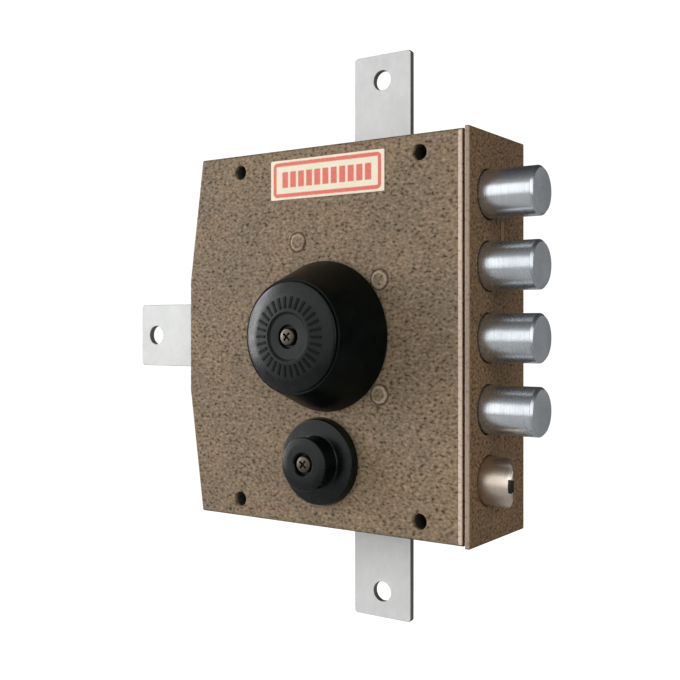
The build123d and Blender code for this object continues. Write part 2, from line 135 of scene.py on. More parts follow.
class Finish(Wiring):
    def __init__(self, name):
        self.material = bpy.data.materials.new(name)
        self.material.use_nodes = True
        super().__init__(self.material.node_tree)
        self.shader = self.tree.nodes["Principled BSDF"]
        self.place = self.node("TexCoord", out="Object")

    def set(self, **values):
        for name, value in values.items():
            self.feed(self.shader.inputs[name.replace("_", " ")], value)

    def along(self, axis, start=0.0):
        # distance from start along one axis, in mm
        return self.part(self.place, axis) / mm - start

    def line(self, distance, half, soft=0.1):
        # 1 within half of a line, 0 away from it
        return self.span(abs(distance), half - soft, half + soft, 1.0, 0.0)

    def stretched(self, scale):
        return self.node("Mapping", {}, {"Vector": self.place, "Scale": scale})

    def noise(self, scale, detail, rough, vector=None, seed=0.0):
        sockets = {"Vector": vector or self.place, "Scale": scale, "Detail": detail,
                   "Roughness": rough, "W": seed}
        return self.node("TexNoise", {"noise_dimensions": "4D"}, sockets)

    def bump(self, height, distance, strength):
        return self.node("Bump", {}, {"Height": height, "Distance": distance, "Strength": strength})


def grey(level):
    return (level, level, level)


def solid(colour):
    return tuple(colour) + (1.0,)


def tinted(colour, tint):
    return tuple(channel * part for channel, part in zip(colour, tint))


def setStops(ramp, stops):
    while len(ramp.elements) < len(stops):
        ramp.elements.new(0.5)
    for element, (position, colour) in zip(ramp.elements, stops):
        element.position = position
        element.color = solid(colour)


# Hammered paint: brown with dark pits and pale crests, with a painted highlight where a sheet's edge
# catches the light and painted shade where a dark mask lies

hammered = {"lump": 570.0, "stretch": (1.0, 1.0, 1.5), "depth": 0.00018, "relief": 0.75,
            "levels": (0.30, 0.47, 0.53, 0.70), "pit": (0.055, 0.036, 0.020),
            "field": (0.250, 0.184, 0.118), "crest": (0.395, 0.298, 0.200), "patch": 45.0,
            "between": (0.35, 0.65), "duller": (0.90, 0.92, 0.95), "brighter": (1.08, 1.05, 1.02),
            "thin": 0.7, "rough": (0.60, 0.44), "gloss": 0.12, "gap": 0.5}


def hammeredPaint(name, shade=(1.0, 1.0, 1.0), depth=1.0, pale=None, dark=None):
    # pale gives a mask and a tone for a painted highlight, dark gives a mask for painted shade; both are
    # drawn over the lumps. shade tints every tone: a lighter or darker copy of the paint stands for a
    # face turned towards or away from the light
    k = hammered
    f = Finish(name)
    lumps = f.noise(k["lump"], 2.0, 0.5, f.stretched(k["stretch"]))
    patches = f.noise(k["patch"], 3.0, 0.55, seed=7.0)
    tones = [tinted(k[tone], shade) for tone in ("pit", "field", "field", "crest")]
    colour = f.ramp(lumps, list(zip(k["levels"], tones)))
    tone = f.ramp(patches, list(zip(k["between"], (k["duller"], k["brighter"]))))
    colour = f.blend(1.0, colour, tone, "MULTIPLY")
    # painted highlight: the pale mask lays its light tone over the lumps
    if pale:
        mask, tone = pale(f)
        colour = f.blend(mask * f.span(lumps, 0.35, 0.5, k["thin"], 1.0), colour, solid(tone))
    # painted shade: the dark mask turns the paint towards a darkened pit tone
    if dark:
        colour = f.blend(dark(f), colour, solid(tinted(k["pit"], grey(k["gap"]))))
    f.set(Base_Color=colour, Metallic=0.0, Roughness=f.span(lumps, *k["between"], *k["rough"]),
          Specular_IOR_Level=k["gloss"], Normal=f.bump(lumps, k["depth"] * depth, k["relief"]))
    return f.material


# Black plastic of the knobs

plastic = {"deep": (0.0010, 0.0022, 0.0018), "worn": (0.0030, 0.0062, 0.0050), "scuff": 170.0,
           "between": (0.3, 0.7), "smoother": 0.05, "rougher": 0.08, "grain": 2400.0,
           "grainDepth": 0.00003, "relief": 0.5, "dulled": 0.25}


def blackMoulding(name, gloss=0.26, rough=0.25, duller=None):
    # duller: the radii between which the face turns rougher towards the axis
    k = plastic
    f = Finish(name)
    scuffs = f.noise(k["scuff"], 4.0, 0.6, seed=2.0)
    colour = f.ramp(scuffs, [(0.3, k["deep"]), (0.75, k["worn"])])
    roughness = f.span(scuffs, *k["between"], rough - k["smoother"], rough + k["rougher"])
    if duller:
        x, z = f.along("X"), f.along("Z")
        roughness = roughness + f.span((x * x + z * z).root(), *duller, k["dulled"], 0.0)
    f.set(Base_Color=colour, Roughness=roughness, Specular_IOR_Level=gloss,
          Normal=f.bump(f.noise(k["grain"], 3.0, 0.6), k["grainDepth"], k["relief"]))
    return f.material


# Plated and bare metals: clouds, specks and fine lines across the brushing

metalGrain = {"cloud": 55.0, "speck": 1500.0, "shares": (0.50, 0.35, 0.15), "levels": (0.34, 0.62),
              "between": (0.35, 0.65), "rougher": 0.07, "smoother": 0.05, "relief": 0.6}


def metal(name, dark, light, rough, scratch, brushed=(1.0, 1.0, 1.0), metallic=1.0, depth=0.00001):
    k = metalGrain
    f = Finish(name)
    clouds = f.noise(k["cloud"], 3.0, 0.6, seed=4.0)
    lines = f.noise(scratch, 4.0, 0.65, f.stretched(brushed))
    specks = f.noise(k["speck"], 2.0, 0.5, seed=6.0)
    cloudShare, lineShare, speckShare = k["shares"]
    level = clouds * cloudShare + lines * lineShare + specks * speckShare
    f.colour = f.ramp(level, list(zip(k["levels"], (dark, light))))
    roughness = f.span(level, *k["between"], rough + k["rougher"], rough - k["smoother"])
    f.set(Base_Color=f.colour, Metallic=metallic, Roughness=roughness,
          Normal=f.bump(lines, depth, k["relief"]))
    return f


cutTone = (0.16, 0.16, 0.15)


def cutZinc():
    # pale zinc on the rolled faces, dark where the bar was cut
    f = metal("paleZinc", (0.62, 0.63, 0.62), (0.72, 0.73, 0.72), 0.50, 420.0, (1.0, 1.0, 0.5), 0.12)
    cut = f.node("Attribute", {"attribute_name": "cut"}, out="Fac")
    f.set(Base_Color=f.blend(cut, f.colour, solid(cutTone)))
    return f


latchTipHighlight = {"flat": 82.6, "face": -53.3, "faceHalf": 2.4, "soft": 0.3, "tone": (0.95, 0.90, 0.82)}


def latchNickel():
    # warm nickel with turning marks, and a painted highlight on the flat at the tip
    k = latchTipHighlight
    f = metal("warmNickel", (0.60, 0.50, 0.42), (0.84, 0.75, 0.66), 0.32, 420.0, (5.0, 0.2, 0.2),
              depth=0.00004)
    x, z = f.along("X"), f.along("Z")
    flat = (x > k["flat"]) * f.line(z - k["face"], k["faceHalf"], k["soft"])
    f.set(Base_Color=f.blend(flat, f.colour, solid(k["tone"])))
    return f


def roundedBox(across, up, halfWide, halfHigh, corner):
    # distance to a rounded rectangle's line, below zero inside it
    overWide = abs(across) - (halfWide - corner)
    overHigh = abs(up) - (halfHigh - corner)
    wide, high = overWide.above(0.0), overHigh.above(0.0)
    return (wide * wide + high * high).root() + overWide.above(overHigh).below(0.0) - corner


# Label: cream paper with a red frame and a row of plain bars

labelPrint = {"frame": (27.7, 6.9), "corner": 1.3, "line": 0.85, "bars": 11, "pitch": 4.4, "bar": 1.6,
              "tall": 3.5, "blur": 0.18, "ragged": 0.35, "inkGrain": 900.0, "paperGrain": 70.0,
              "levels": (0.3, 0.7), "paper": ((0.92, 0.82, 0.60), (0.98, 0.91, 0.73)),
              "red": ((0.80, 0.10, 0.06), (0.88, 0.18, 0.12)), "rough": 0.42, "coat": 0.2,
              "coatRough": 0.2, "grain": 500.0, "grainDepth": 0.00002, "relief": 0.4}


def printedLabel(centre):
    k = labelPrint
    f = Finish("printedLabel")
    x = f.along("X", centre.x / mm)
    z = f.along("Z", centre.z / mm)
    ink = f.noise(k["inkGrain"], 3.0, 0.6)
    ragged = (ink - 0.5) * k["ragged"]
    frameLine = f.line(roundedBox(x, z, *k["frame"], k["corner"]) + ragged, k["line"], k["blur"])
    half = k["bars"] * k["pitch"] / 2
    turn = f.node("Math", {"operation": "PINGPONG"}, {0: x + half, 1: k["pitch"] / 2})
    edge = k["pitch"] / 2 - k["bar"]
    bars = f.span(turn + ragged, edge - k["blur"], edge + k["blur"])
    within = (abs(x) < half) * f.line(z + ragged, k["tall"], k["blur"])
    paper = f.ramp(f.noise(k["paperGrain"], 3.0, 0.6, seed=1.0), list(zip(k["levels"], k["paper"])))
    red = f.ramp(ink, list(zip(k["levels"], k["red"])))
    f.set(Base_Color=f.blend(frameLine.above(bars * within), paper, red), Roughness=k["rough"],
          Coat_Weight=k["coat"], Coat_Roughness=k["coatRough"],
          Normal=f.bump(f.noise(k["grain"], 2.0, 0.5), k["grainDepth"], k["relief"]))
    return f.material


# Key: nickel silver, with painted shade beside the bow's raised ring and frame, and a milled band on the
# blade

keyMarks = {"bow": 76.9, "ring": 11.3, "line": 0.25, "frame": (2.5, 10.4), "corner": 0.8, "face": 1.4,
            "proud": 0.15, "slope": 0.1, "creaseShadeHalf": 0.55, "creaseShadeDeep": 0.03, "creaseShadeStrength": 0.8,
            "creaseShade": (0.10, 0.09, 0.075), "stipple": 2600.0, "stippleHeight": 0.35, "shoulder": 47.4,
            "milledFrom": 0.8, "mill": 1.1, "millHeight": 0.5, "milled": (0.80, 0.77, 0.66),
            "depth": 0.00022, "relief": 0.8}


def keyNickel():
    k = keyMarks
    f = metal("nickelSilver", (0.36, 0.33, 0.28), (0.66, 0.62, 0.55), 0.33, 700.0, (1.0, 0.3, 1.6))
    y = f.along("Y", k["bow"])
    z = f.along("Z")
    ring = f.line((y * y + z * z).root() - k["ring"], k["creaseShadeHalf"])
    panel = roundedBox(y, z, *k["frame"], k["corner"])
    onFace = abs(f.along("X")) < k["face"] + k["creaseShadeDeep"]
    # painted shade in the creases beside the ring and frame
    shaded = ring.above(f.line(panel, k["creaseShadeHalf"])) * onFace
    stipple = (panel < 0.0) * f.noise(k["stipple"], 1.0, 0.5)
    onBlade = (f.along("Y", k["shoulder"]) < 0.0) * (f.along("Z", k["milledFrom"]) > 0.0)
    ribs = f.node("Math", {"operation": "PINGPONG"}, {0: f.along("Y"), 1: k["mill"] / 2}) / k["mill"]
    colour = f.blend(onBlade, f.colour, solid(k["milled"]))
    colour = f.blend(shaded * k["creaseShadeStrength"], colour, solid(k["creaseShade"]))
    height = stipple * k["stippleHeight"] + onBlade * ribs * k["millHeight"]
    f.set(Base_Color=colour, Normal=f.bump(height, k["depth"], k["relief"]))
    return f


# Masks that the case's paint takes from its own places, in mm

coverLow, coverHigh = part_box("front_cover")
caseFront = coverLow[1]
pillarPlaces = ((-14.4, 41.4), (28.2, 23.8), (28.2, -24.2))
paintMasks = {"fold": 1.65, "foldHighlight": (0.76, 0.59, 0.46), "skin": 0.5,
              "plateEdge": 0.7, "plateHighlight": (0.42, 0.31, 0.235), "rim": 0.45, "rimShade": 0.6,
              "groove": 4.25, "grooveHalf": 0.45, "grooveShade": 0.65,
              "ring": 3.15, "ringHalf": 0.45, "ringHighlightStrength": 0.7, "ringHighlight": (0.56, 0.45, 0.35),
              "soft": 0.25}


def coverFoldHighlight(f):
    # painted highlight: the light line down the cover's bolt side, where its edge catches the light
    k = paintMasks
    line = f.along("X", coverHigh[0] / mm - k["fold"]) > 0.0
    return line * (f.along("Y", caseFront / mm + k["skin"]) < 0.0), k["foldHighlight"]


def plateEdge(f):
    # painted highlight: the light edge of the side plate, nearest the front
    k = paintMasks
    return f.along("Y", caseFront / mm + k["plateEdge"]) < 0.0, k["plateHighlight"]


def rimLineShade(f, low, high):
    # painted shade: the thin dark line along the sheet's top and bottom edges
    k = paintMasks
    top = f.along("Z", high[2] / mm - k["rim"]) > 0.0
    bottom = f.along("Z", low[2] / mm + k["rim"]) < 0.0
    return top.above(bottom) * k["rimShade"]


def fromRivet(f):
    # distance to the nearest rivet's axis
    nearest = 1000.0
    for x, z in pillarPlaces:
        across, up = f.along("X", x), f.along("Z", z)
        nearest = (across * across + up * up).root().below(nearest)
    return nearest


def rivetGrooveShade(f):
    # painted shade: the dark ring in the cover round each rivet, where its gap falls in shade
    k = paintMasks
    return f.line(fromRivet(f) - k["groove"], k["grooveHalf"], k["soft"]) * k["grooveShade"]


def rivetRingHighlight(f):
    # painted highlight: the light ring on each rivet's slope
    k = paintMasks
    return f.line(fromRivet(f) - k["ring"], k["ringHalf"], k["soft"]) * k["ringHighlightStrength"], k["ringHighlight"]


# painted shade round the rivets and along the cover's top and bottom edges
def coverShade(f):
    return rivetGrooveShade(f).above(rimLineShade(f, coverLow, coverHigh))


# painted shade along the side plate's top and bottom edges
def plateShade(f):
    return rimLineShade(f, *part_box("base_plate"))


finishes = {
    "cover": hammeredPaint("hammeredCover", pale=coverFoldHighlight, dark=coverShade),
    # the side plate takes a darker, warmer copy of the cover's paint: painted shade for the face turned
    # from the light
    "plate": hammeredPaint("hammeredPlate", (0.98, 0.84, 0.70), 0.7, pale=plateEdge, dark=plateShade),
    # the rivet heads take a slightly lighter copy of the paint, painted light, and a painted highlight on
    # their slope
    "rivet": hammeredPaint("hammeredRivet", grey(1.05), 0.3, pale=rivetRingHighlight),
    "knob": blackMoulding("blackMoulding"),
    "skirt": blackMoulding("blackSkirt", 0.11, 0.32),
    "cap": blackMoulding("blackCap", duller=(16.0, 18.5)),
    "mark": blackMoulding("blackMark", 0.12, 0.55),
    "bolt": metal("zincBolt", (0.50, 0.54, 0.58), (0.73, 0.76, 0.79), 0.26, 240.0, (8.0, 0.2, 0.2), 0.94,
                  0.00006).material,
    "rod": cutZinc().material,
    "latch": latchNickel().material,
    "inner": metal("yellowZinc", (0.30, 0.17, 0.09), (0.52, 0.32, 0.17), 0.42, 300.0,
                   metallic=0.8).material,
    # near-black steel for the sleeves: painted shade inside the fixing holes
    "sleeve": metal("holeShadeSteel", (0.05, 0.055, 0.045), (0.16, 0.16, 0.13), 0.5, 500.0,
                    metallic=0.5).material,
    "screw": metal("screwSteel", (0.040, 0.036, 0.030), (0.110, 0.098, 0.082), 0.42, 900.0).material,
    # near-black metal for the piece at the latch's tip: painted shade
    "insert": metal("latchInsert", (0.020, 0.018, 0.015), (0.060, 0.052, 0.044), 0.5, 800.0).material,
    "spring": metal("springSteel", (0.30, 0.30, 0.31), (0.52, 0.52, 0.53), 0.30, 600.0).material,
    "barrel": metal("satinNickel", (0.50, 0.49, 0.46), (0.70, 0.69, 0.66), 0.30, 500.0,
                    (1.0, 4.0, 1.0)).material,
    "plug": metal("turnedBrass", (0.56, 0.40, 0.16), (0.80, 0.62, 0.30), 0.28, 700.0).material,
    "key": keyNickel().material,
}
print("finishes made")


# Mesh helpers

def finished(name, mesh, finish, body, slot, *replaced):
    piece = bpy.data.objects.new(name, mesh)
    bpy.context.scene.collection.objects.link(piece)
    mesh.materials.clear()
    mesh.materials.append(finish)
    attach(piece, body)
    if replaced:
        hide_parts(*replaced)
    return piece


def smooth(mesh, angle=32.0):
    mesh.shade_smooth()
    mesh.set_sharp_from_angle(angle=math.radians(angle))
    return mesh


def meshFrom(form, name, angle=32.0):
    mesh = bpy.data.meshes.new(name)
    bmesh.ops.remove_doubles(form, verts=form.verts, dist=1e-7)
    bmesh.ops.recalc_face_normals(form, faces=form.faces)
    form.to_mesh(mesh)
    form.free()
    return smooth(mesh, angle)


def linked(name, mesh):
    thing = bpy.data.objects.new(name, mesh)
    bpy.context.scene.collection.objects.link(thing)
    return thing


def evaluated(piece):
    graph = bpy.context.evaluated_depsgraph_get()
    return bpy.data.meshes.new_from_object(piece.evaluated_get(graph), depsgraph=graph)


def rounded(corners, steps=6):
    # corners are (radius, height, rounding); a rounded corner becomes a short arc
    points = []
    for number, (radius, height, rounding) in enumerate(corners):
        here = Vector((radius, height))
        if rounding <= 0:
            points.append(here)
            continue
        before = Vector(corners[number - 1][:2]) - here
        after = Vector(corners[(number + 1) % len(corners)][:2]) - here
        before.normalize()
        after.normalize()
        half = before.angle(after) / 2
        middle = here + (before + after).normalized() * (rounding / math.sin(half))
        first = here + before * (rounding / math.tan(half)) - middle
        last = here + after * (rounding / math.tan(half)) - middle
        for step in range(steps + 1):
            spoke = first.slerp(last, step / steps)
            points.append(middle + spoke.normalized() * rounding)
    return points


def turnedForm(points, spokes=96):
    # points are (radius, height) in mm; the axis is -Y from the origin
    form = bmesh.new()
    rings = []
    for radius, height in points:
        if radius < 1e-6:
            rings.append([form.verts.new((0.0, -height * mm, 0.0))])
            continue
        ring = []
        for spoke in range(spokes):
            angle = 2 * math.pi * spoke / spokes
            ring.append(form.verts.new((radius * mm * math.cos(angle), -height * mm,
                                        radius * mm * math.sin(angle))))
        rings.append(ring)
    for low, high in zip(rings, rings[1:] + rings[:1]):
        if len(low) == 1 and len(high) == 1:
            continue
        for spoke in range(spokes):
            nextSpoke = (spoke + 1) % spokes
            if len(low) == 1:
                form.faces.new((low[0], high[nextSpoke], high[spoke]))
            elif len(high) == 1:
                form.faces.new((low[spoke], low[nextSpoke], high[0]))
            else:
                form.faces.new((low[spoke], low[nextSpoke], high[nextSpoke], high[spoke]))
    return form


def move(form, matrix):
    bmesh.ops.transform(form, matrix=matrix, verts=form.verts)


def boxCentre(node):
    low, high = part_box(node)
    return (Vector(low) + Vector(high)) / 2


def loopPoints(halfWide, halfHigh, corner, steps):
    # a rounded rectangle's outline, or a circle where the corner takes both halves
    points = []
    for quarter in range(4):
        sideways = 1 if quarter in (0, 3) else -1
        upwards = 1 if quarter < 2 else -1
        for step in range(steps + 1):
            angle = math.pi / 2 * (quarter + step / steps)
            points.append((sideways * (halfWide - corner) + corner * math.cos(angle),
                           upwards * (halfHigh - corner) + corner * math.sin(angle)))
    return points


def addBlock(form, low, high):
    middle = (Vector(low) + Vector(high)) / 2
    size = Vector(high) - Vector(low)
    place = Matrix.Translation(middle) @ Matrix.Diagonal((*size, 1.0))
    bmesh.ops.create_cube(form, size=1.0, matrix=place)


def outlineForm(points, front, back):
    # points are (x, z); the plate fills y from front to back
    form = bmesh.new()
    near = [form.verts.new((x, front, z)) for x, z in points]
    far = [form.verts.new((x, back, z)) for x, z in points]
    form.faces.new(near)
    form.faces.new(list(reversed(far)))
    for number in range(len(points)):
        following = (number + 1) % len(points)
        form.faces.new((near[following], near[number], far[number], far[following]))
    return form


softEdge = {"merge": 2e-6, "flat": 0.4, "steps": 2, "angle": 38.0}


def softened(node, width):
    # a merged copy of a CAD node with its edges eased
    k = softEdge
    mesh = nodes[node].data.copy()
    form = bmesh.new()
    form.from_mesh(mesh)
    bmesh.ops.remove_doubles(form, verts=form.verts, dist=k["merge"])
    bmesh.ops.dissolve_limit(form, angle_limit=math.radians(k["flat"]), verts=form.verts,
                             edges=form.edges)
    for face in form.faces:
        face.smooth = True
    form.to_mesh(mesh)
    form.free()
    piece = linked(node + "Copy", mesh)
    bevel = piece.modifiers.new("ease", "BEVEL")
    bevel.width = width * mm
    bevel.segments = k["steps"]
    bevel.limit_method = "ANGLE"
    bevel.angle_limit = math.radians(k["angle"])
    bevel.use_clamp_overlap = False
    bevel.miter_outer = "MITER_ARC"
    even = piece.modifiers.new("even", "WEIGHTED_NORMAL")
    even.keep_sharp = True
    result = evaluated(piece)
    bpy.data.objects.remove(piece)
    return result


def markCut(mesh):
    # 1 on the faces across the plate's thickness
    cut = mesh.attributes.new("cut", "FLOAT", "FACE")
    for face, value in zip(mesh.polygons, cut.data):
        value.value = 1.0 if abs(face.normal.y) < 0.5 else 0.0


# CAD nodes that keep their own mesh

def paint(finish, *names):
    for name in names:
        mesh = nodes[name].data
        mesh.materials.clear()
        mesh.materials.append(finish)


paint(finishes["inner"], "mid_plate", "rear_standoffs", "top_rod_guide", "bottom_rod_guide",
      "side_rod_guide", "latch_bracket", "drive_spindle", "bolt_carriage", "carriage_bar", "latch_tail",
      "latch_crank")
paint(finishes["sleeve"], "fixing_sleeves")
paint(finishes["screw"], "cylinder_screws")
paint(finishes["plug"], "cylinder_plug", "plug_driver")

# Case, rods, latch, cylinder and key: the CAD shape with eased edges

eased = {  # CAD node: name, width of the easing in mm, finish, body, slot
    "front_cover": ("caseCover", 0.35, "cover", "case", "case_paint"),
    "base_plate": ("basePlate", 0.45, "plate", "case", "case_paint"),
    "top_rod": ("topRod", 0.35, "rod", "top_bolt", "rod_zinc"),
    "bottom_rod": ("bottomRod", 0.35, "rod", "bottom_bolt", "rod_zinc"),
    "side_rod": ("sideRod", 0.35, "rod", "side_bolt", "rod_zinc"),
    "latch_bolt": ("latchBolt", 0.50, "latch", "latch", "latch_nickel"),
    "cylinder_body": ("cylinderBody", 0.60, "barrel", "case", "cylinder_nickel"),
    "key": ("doorKey", 0.40, "key", "key", "key_nickel"),
}
for node, (name, width, finish, body, slot) in eased.items():
    mesh = softened(node, width)
    if finish == "rod":
        markCut(mesh)
    finished(name, mesh, finishes[finish], body, slot, node)
print("eased pieces made")


# Large knob: straight skirt with a thin lip, and let into it a domed cap with a sunk middle

largeKnob = {"gap": 0.3, "radius": 32.6, "foot": 0.6, "lip": 24.2, "lipHeight": 23.3, "ledge": 23.1,
             "letIn": 22.6, "cap": 23.1, "capHeight": 24.2, "capSteps": 8, "spokes": 160, "sink": 10.4,
             "sinkSlope": 1.1, "sinkEdge": 26.5, "sinkFloor": 25.8, "well": 4.9, "seat": 24.2}


def capHeight(radius):
    # the dome, from the cap's edge to the edge of its sunk middle
    k = largeKnob
    rise = 1 - (radius / k["cap"]) ** 2
    return k["capHeight"] + (k["sinkEdge"] - k["capHeight"]) * rise / (1 - (k["sink"] / k["cap"]) ** 2)


def makeLargeKnob():
    k = largeKnob
    skirt = [(0.0, k["gap"], 0), (k["radius"] - 0.2, k["gap"], 0),
             (k["radius"], k["gap"] + k["foot"], 0.2), (k["lip"], k["lipHeight"], 0.3),
             (k["cap"] - 0.5, k["ledge"], 0), (0.0, k["ledge"], 0)]
    cap = [(0.0, k["letIn"], 0), (k["cap"], k["letIn"], 0), (k["cap"], k["capHeight"], 0.55)]
    for step in range(1, k["capSteps"]):
        radius = k["cap"] + (k["sink"] - k["cap"]) * step / k["capSteps"]
        cap.append((radius, capHeight(radius), 0))
    cap += [(k["sink"], k["sinkEdge"], 0.5), (k["sink"] - k["sinkSlope"], k["sinkFloor"], 0.4),
            (k["well"], k["sinkFloor"], 0.3), (k["well"], k["seat"], 0.1), (0.0, k["seat"], 0)]
    pieces = (("largeKnob", skirt, "skirt", ["main_knob"]), ("knobCap", cap, "cap", []))
    for name, profile, finish, stoodFor in pieces:
        form = turnedForm(rounded(profile), k["spokes"])
        move(form, Matrix.Translation((0.0, caseFront, 0.0)))
        finished(name, meshFrom(form, name, 40.0), finishes[finish], "knob", "knob_plastic", *stoodFor)


makeLargeKnob()


# Geometry Nodes trees, each with named inputs

def nodeTree(name, inputs):
    tree = bpy.data.node_groups.new(name, "GeometryNodeTree")
    tree.interface.new_socket("Geometry", in_out="OUTPUT", socket_type="NodeSocketGeometry")
    for label, kind in inputs:
        tree.interface.new_socket(label, in_out="INPUT", socket_type="NodeSocket" + kind)
    return tree


def wired(tree, kind, sockets=None, **settings):
    made = tree.nodes.new(kind)
    for key, value in settings.items():
        setattr(made, key, value)
    for key, value in (sockets or {}).items():
        if isinstance(value, bpy.types.NodeSocket):
            tree.links.new(value, made.inputs[key])
        else:
            made.inputs[key].default_value = value
    return made


def realised(tree, spread, finish):
    real = wired(tree, "GeometryNodeRealizeInstances", {0: spread})
    dressed = wired(tree, "GeometryNodeSetMaterial", {"Geometry": real.outputs[0], "Material": finish})
    tree.links.new(dressed.outputs[0], tree.nodes.new("NodeGroupOutput").inputs[0])
    return tree


def grown(tree, values, seed=None):
    # the mesh that a node tree gives for these input values
    host = linked("host", seed or bpy.data.meshes.new("host"))
    modifier = host.modifiers.new("nodes", "NODES")
    modifier.node_group = tree
    for item in tree.interface.items_tree:
        if item.in_out == "INPUT" and item.name in values:
            modifier[item.identifier] = values[item.name]
    mesh = evaluated(host)
    bpy.data.objects.remove(host)
    return mesh


def ringTree():
    # copies of a bar, set like the hours of a clock and tipped outwards
    inputs = (("Count", "Int"), ("Radius", "Float"), ("Length", "Float"), ("Width", "Float"),
              ("Height", "Float"), ("Tip", "Float"), ("Finish", "Material"))
    tree = nodeTree("radialMarks", inputs)
    entry = tree.nodes.new("NodeGroupInput").outputs
    ring = wired(tree, "GeometryNodeMeshCircle", {"Vertices": entry["Count"], "Radius": entry["Radius"]})
    size = wired(tree, "ShaderNodeCombineXYZ",
                 {"X": entry["Length"], "Y": entry["Width"], "Z": entry["Height"]})
    bar = wired(tree, "GeometryNodeMeshCube", {"Size": size.outputs[0]})
    place = wired(tree, "GeometryNodeInputPosition")
    split = wired(tree, "ShaderNodeSeparateXYZ", {0: place.outputs[0]})
    angle = wired(tree, "ShaderNodeMath", {0: split.outputs["Y"], 1: split.outputs["X"]},
                  operation="ARCTAN2")
    turn = wired(tree, "ShaderNodeCombineXYZ", {"Y": entry["Tip"], "Z": angle.outputs[0]})
    spread = wired(tree, "GeometryNodeInstanceOnPoints",
                   {"Points": ring.outputs[0], "Instance": bar.outputs[0], "Rotation": turn.outputs[0]})
    return realised(tree, spread.outputs[0], entry["Finish"])


def rowTree():
    # copies of the mesh that comes in, in a straight row
    inputs = (("Piece", "Geometry"), ("Count", "Int"), ("First", "Vector"), ("Step", "Vector"),
              ("Finish", "Material"))
    tree = nodeTree("row", inputs)
    entry = tree.nodes.new("NodeGroupInput").outputs
    line = wired(tree, "GeometryNodeMeshLine",
                 {"Count": entry["Count"], "Start Location": entry["First"], "Offset": entry["Step"]})
    spread = wired(tree, "GeometryNodeInstanceOnPoints",
                   {"Points": line.outputs[0], "Instance": entry["Piece"]})
    return realised(tree, spread.outputs[0], entry["Finish"])


def placedTree():
    # copies of another piece, one at each vertex that comes in
    tree = nodeTree("placed", (("Places", "Geometry"), ("Piece", "Object"), ("Finish", "Material")))
    entry = tree.nodes.new("NodeGroupInput").outputs
    piece = wired(tree, "GeometryNodeObjectInfo", {"Object": entry["Piece"]})
    spread = wired(tree, "GeometryNodeInstanceOnPoints",
                   {"Points": entry["Places"], "Instance": piece.outputs["Geometry"]})
    return realised(tree, spread.outputs[0], entry["Finish"])


# Raised plain marks on the large knob's cap

knobMarks = {"count": 30, "radius": 14.2, "length": 5.0, "width": 1.1, "height": 0.8, "proud": 0.22}


def makeKnobMarks():
    k = knobMarks
    slope = (capHeight(k["radius"] - 1) - capHeight(k["radius"] + 1)) / 2
    values = {"Count": k["count"], "Radius": k["radius"] * mm, "Length": k["length"] * mm,
              "Width": k["width"] * mm, "Height": k["height"] * mm, "Tip": math.atan(slope),
              "Finish": finishes["mark"]}
    mesh = grown(ringTree(), values)
    level = caseFront - (capHeight(k["radius"]) + k["proud"] - k["height"] / 2) * mm
    mesh.transform(Matrix.Translation((0, level, 0)) @ Matrix.Rotation(math.pi / 2, 4, "X"))
    finished("knobMarks", mesh, finishes["mark"], "knob", "knob_plastic")


makeKnobMarks()
print("large knob made")

# Small knob: thick flange, straight neck, slightly domed cap

smallKnob = {"gap": 0.3, "radius": 19.1, "foot": 0.4, "band": 18.4, "bandHeight": 4.3, "neck": 11.0,
             "cap": 11.5, "capEdge": 13.6, "crown": 8.5, "capTop": 14.2, "well": 4.7, "seat": 11.4,
             "spokes": 128}


def makeSmallKnob():
    k = smallKnob
    corners = [(0.0, k["gap"], 0), (k["radius"] - 0.1, k["gap"], 0),
               (k["radius"], k["gap"] + k["foot"], 0.1), (k["band"], k["bandHeight"], 0.6),
               (k["neck"], k["bandHeight"] + 0.3, 0.9),
               (k["cap"], k["capEdge"] - 0.5, 0.1), (k["cap"] - 0.1, k["capEdge"] + 0.1, 0.5),
               (k["crown"], k["capTop"] - 0.15, 3.0), (k["well"] + 0.5, k["capTop"], 0.3),
               (k["well"], k["capTop"] - 0.5, 0.2), (k["well"], k["seat"], 0.1), (0.0, k["seat"], 0)]
    form = turnedForm(rounded(corners), k["spokes"])
    centre = boxCentre("latch_knob")
    move(form, Matrix.Translation((centre.x, caseFront, centre.z)))
    finished("smallKnob", meshFrom(form, "smallKnob", 40.0), finishes["knob"], "small_knob",
             "knob_plastic", "latch_knob")


makeSmallKnob()
print("small knob made")

# Screws with a cross recess

crossScrew = {"radius": 3.6, "height": 2.6, "fall": 0.25, "edge": 0.7, "crown": 0.5, "dome": 2.0,
              "spokes": 64, "arm": 2.1, "slot": 0.48, "deep": 1.4, "clear": 1.0, "turn": 40}


